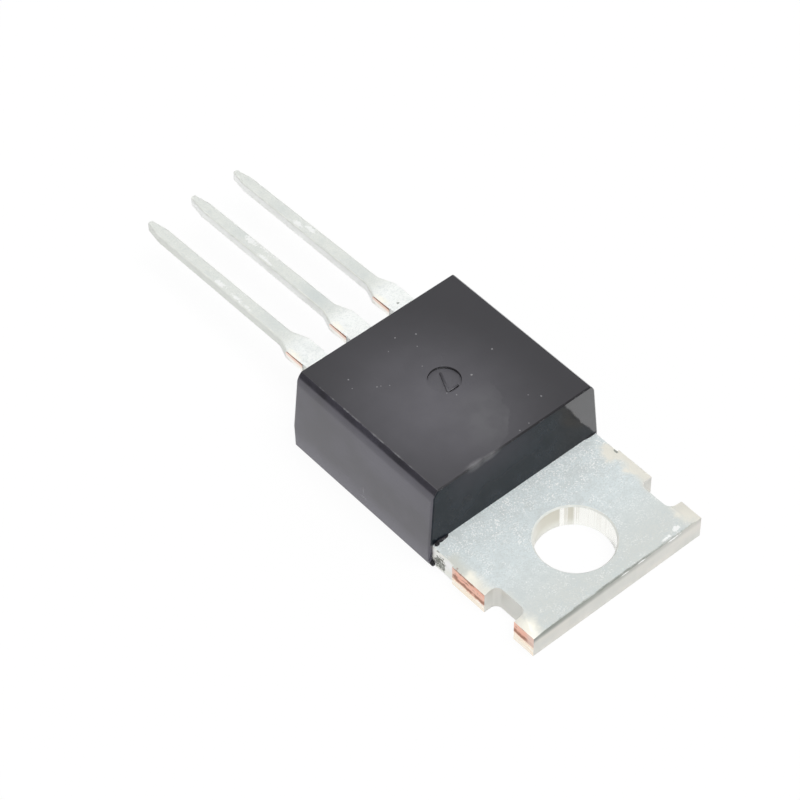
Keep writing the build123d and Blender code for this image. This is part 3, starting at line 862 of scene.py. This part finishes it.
# Specks and scuff, and the painted highlight along the +X edge.
marks = nodes.math("MAXIMUM", marks, painted_edge_highlight(nodes, place))
colour = nodes.mix(marks, colour, SPECK_AND_HIGHLIGHT_GREY)
matt = nodes.ramp(cloud, 0.3, 0.7, 0.42, 0.48)
relief = nodes.bump(fine, 0.006 * MM, 0.4)
nodes.surface(Base_Color=colour, Roughness=matt, IOR=1.5, Normal=relief)

# The rounded edge between the top and the front wall, the wall of the round mark and the flash:
# dark and rough, with the same scuff.
worn_edge, nodes, place = new_material("worn_edge")
chips = nodes.ramp(nodes.noise(place, 0.15 * MM, 4), 0.62, 0.70, 0.0, 0.25)
x, y, z = nodes.axes(place)
softer = nodes.times(
    nodes.ramp(x, -0.6 * MM, 1.0 * MM), nodes.ramp(y, -5 * MM, -4 * MM),
    nodes.ramp(z, 4 * MM, 4.2 * MM), nodes.ramp(nodes.noise(place, 0.5 * MM, 4), 0.3, 0.6, 0.4, 1.0),
)
colour = nodes.mix(softer, BLACK_EPOXY, MATT_EPOXY)
marks = nodes.math("MAXIMUM", chips, nodes.times(spots(nodes, place, SCUFF), 0.4))
colour = nodes.mix(marks, colour, SPECK_AND_HIGHLIGHT_GREY)
nodes.surface(Base_Color=colour, Roughness=nodes.ramp(chips, 0, 0.25, 0.6, 0.5), IOR=1.4)

# The drafted walls: polished mould faces, faintly clouded, lighter towards the foot with a painted
# reflection of the floor and in a patch high on the +X side, with a scratch low on one side.
gloss_epoxy, nodes, place = new_material("gloss_epoxy")
_, _, z = nodes.axes(place)
cloud = nodes.noise(place, 1.3 * MM, 5)
fine = nodes.noise(place, 0.10 * MM, 3)
colour = nodes.mix(nodes.ramp(cloud, 0.35, 0.7, 0.0, 0.4), BLACK_EPOXY, GREY_EPOXY)
# Lighter below the parting line, a painted reflection of the floor in the lower draft, and a paler
# patch higher up.
level = nodes.math("ADD", z, nodes.wander(place, 0.8 * MM, 0.35 * MM))
painted_floor_reflection = nodes.ramp(level, 1.3 * MM, 0.3 * MM)
paler_patch = spots(nodes, place, [((4.7, -6.6, 3.5), (2, 4.2, 1.2), 1.0, 0.02)], 1.0 * MM)
lighter = nodes.math("MAXIMUM", nodes.times(painted_floor_reflection, 0.9), nodes.times(paler_patch, 0.7))
colour = nodes.mix(lighter, colour, GREY_EPOXY)
scratch = spots(nodes, place, [
    ((4.90, -8.15, 1.05), (0.3, 0.03, 0.28), 0.6, 0.4),
    ((4.90, -8.15, 0.62), (0.3, 0.24, 0.04), 0.6, 0.5),
])
# The scratch, and the painted highlight along the top's +X edge.
marks = nodes.math("MAXIMUM", nodes.times(scratch, 0.5), painted_edge_highlight(nodes, place))
colour = nodes.mix(marks, colour, SPECK_AND_HIGHLIGHT_GREY)
matt = nodes.ramp(cloud, 0.3, 0.7, 0.13, 0.19)
relief = nodes.bump(fine, 0.001 * MM, 0.1)
nodes.surface(Base_Color=colour, Roughness=matt, IOR=1.9, Specular_Tint=VIOLET, Normal=relief)

# The front wall over the tab: duller, but still polished at the end beyond a ragged border, with a
# painted sheen high in its middle, and darker towards the −X end.
front_epoxy, nodes, place = new_material("front_epoxy")
x, _, z = nodes.axes(place)
cloud = nodes.noise(place, 0.9 * MM, 5)
border = nodes.math("SUBTRACT", nodes.times(nodes.math("SUBTRACT", z, 1.13 * MM), 0.645), x)
border = nodes.math("ADD", border, nodes.wander(place, 0.9 * MM, 0.30 * MM))
polished = nodes.ramp(border, 4.85 * MM, 4.95 * MM)
colour = nodes.mix(nodes.ramp(cloud, 0.35, 0.7), SLATE_EPOXY, BLUE_EPOXY)
# Painted sheen: lighter towards the top in the middle of the wall.
painted_sheen = nodes.times(
    nodes.ramp(z, 2.2 * MM, 4.2 * MM), nodes.ramp(x, -2.0 * MM, 0.5 * MM),
    nodes.ramp(x, 4.4 * MM, 2.5 * MM),
)
colour = nodes.mix(nodes.times(painted_sheen, 0.9), colour, PAINTED_SHEEN_EPOXY)
colour = nodes.mix(nodes.ramp(x, -1.8 * MM, -3.4 * MM, 0.0, 0.6), colour, BLACK_EPOXY)
colour = nodes.mix(nodes.times(spots(nodes, place, SCUFF), 0.35), colour, SPECK_AND_HIGHLIGHT_GREY)
matt = nodes.ramp(cloud, 0.3, 0.7, 0.13, 0.19)
nodes.surface(
    Base_Color=colour, Roughness=matt, IOR=1.28,
    Coat_Weight=polished, Coat_IOR=1.62, Coat_Roughness=0.12,
)


def over_tab(centre, normal):
    return normal.y > WALL_FACING and centre.z > TAB_TOP and centre.y > body_high.y - 0.5 * MM


def on_matt_top(centre, normal):
    return normal.z > FACING and centre.z > body_high.z - 0.15 * MM


def in_mark(centre, normal):
    inside = (centre - MARK_CENTRE).xy.length < MARK_RADIUS + NEAR
    return inside and normal.z < FACING and centre.z > BELOW_MARK


def on_flash(centre, normal):
    return centre.y > BODY_FRONT_Y + 0.005 * MM


def on_front_edge(centre, normal):
    return normal.y > LEAN and normal.z > LEAN and centre.z > body_high.z - 1.5 * END_ROUNDING


face_finish(body, [
    (gloss_epoxy, anywhere),
    (front_epoxy, over_tab),
    (matt_epoxy, on_matt_top),
    (worn_edge, on_front_edge),
    (worn_edge, in_mark),
    (worn_edge, on_flash),
])
take(body)
bpy.ops.object.shade_smooth_by_angle(angle=SHADE_ANGLE)
apply_modifier(body, "WEIGHTED_NORMAL", weight=60, keep_sharp=True)
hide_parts("moulded_body")
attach(body, "root")


# --- Floor and light ---------------------------------------------------------------------------
# A white sheet under the part, in a tent of soft light that is dimmer towards the horizon. A
# large soft lamp hangs almost overhead, a little towards the tab's free end.
FLOOR_SIZE = 1.6
FLOOR_GAP = 0.02 * MM     # a sheet in the very plane of the underside would flicker through it
FLOOR_GLOW = 0.92
HORIZON, OVERHEAD = 0.20, 0.50
LAMP_SIDE = Vector((0, 0.26, 0.966))
LAMP_STRENGTH = 4.7
WHITE, PAPER = (1, 1, 1, 1), (0.95, 0.95, 0.95, 1)

bpy.ops.mesh.primitive_plane_add(size=FLOOR_SIZE, location=(0, 0, cad_box[0][2] - FLOOR_GAP))
floor = bpy.context.object
floor.name = "floor"
sheet, nodes, place = new_material("white_sheet")
paper = nodes.add("ShaderNodeBsdfDiffuse", {"Color": PAPER})
glow = nodes.add("ShaderNodeEmission", {"Color": WHITE, "Strength": 1.0})
rays = nodes.tree.nodes.new("ShaderNodeLightPath").outputs
seen = nodes.math("ADD", rays["Is Camera Ray"], rays["Is Glossy Ray"], clamp=True)
seen = nodes.math("ADD", seen, rays["Is Transmission Ray"], clamp=True)
seen = nodes.math("MULTIPLY", seen, FLOOR_GLOW)
shown = nodes.add("ShaderNodeMixShader", {0: seen, 1: paper, 2: glow})
end = nodes.tree.nodes.new("ShaderNodeOutputMaterial")
nodes.tree.links.new(shown, end.inputs["Surface"])
floor.data.materials.append(sheet)

world = bpy.data.worlds.new("studio")
bpy.context.scene.world = world
world.use_nodes = True
nodes = Nodes(world.node_tree)
heading = nodes.add("ShaderNodeTexCoord", {}, out="Generated")
tent = nodes.ramp(nodes.axes(heading)[2], 0.25, 0.65, HORIZON, OVERHEAD)
towards_lamp = nodes.vector("DOT_PRODUCT", heading, LAMP_SIDE, out="Value")
level = nodes.math("ADD", tent, nodes.ramp(towards_lamp, 0.89, 0.96, 0.0, LAMP_STRENGTH))
back = nodes.add("ShaderNodeBackground", {"Color": WHITE, "Strength": level})
end = nodes.tree.nodes.new("ShaderNodeOutputWorld")
nodes.tree.links.new(back, end.inputs["Surface"])
bpy.context.scene.view_settings.view_transform = "Standard"
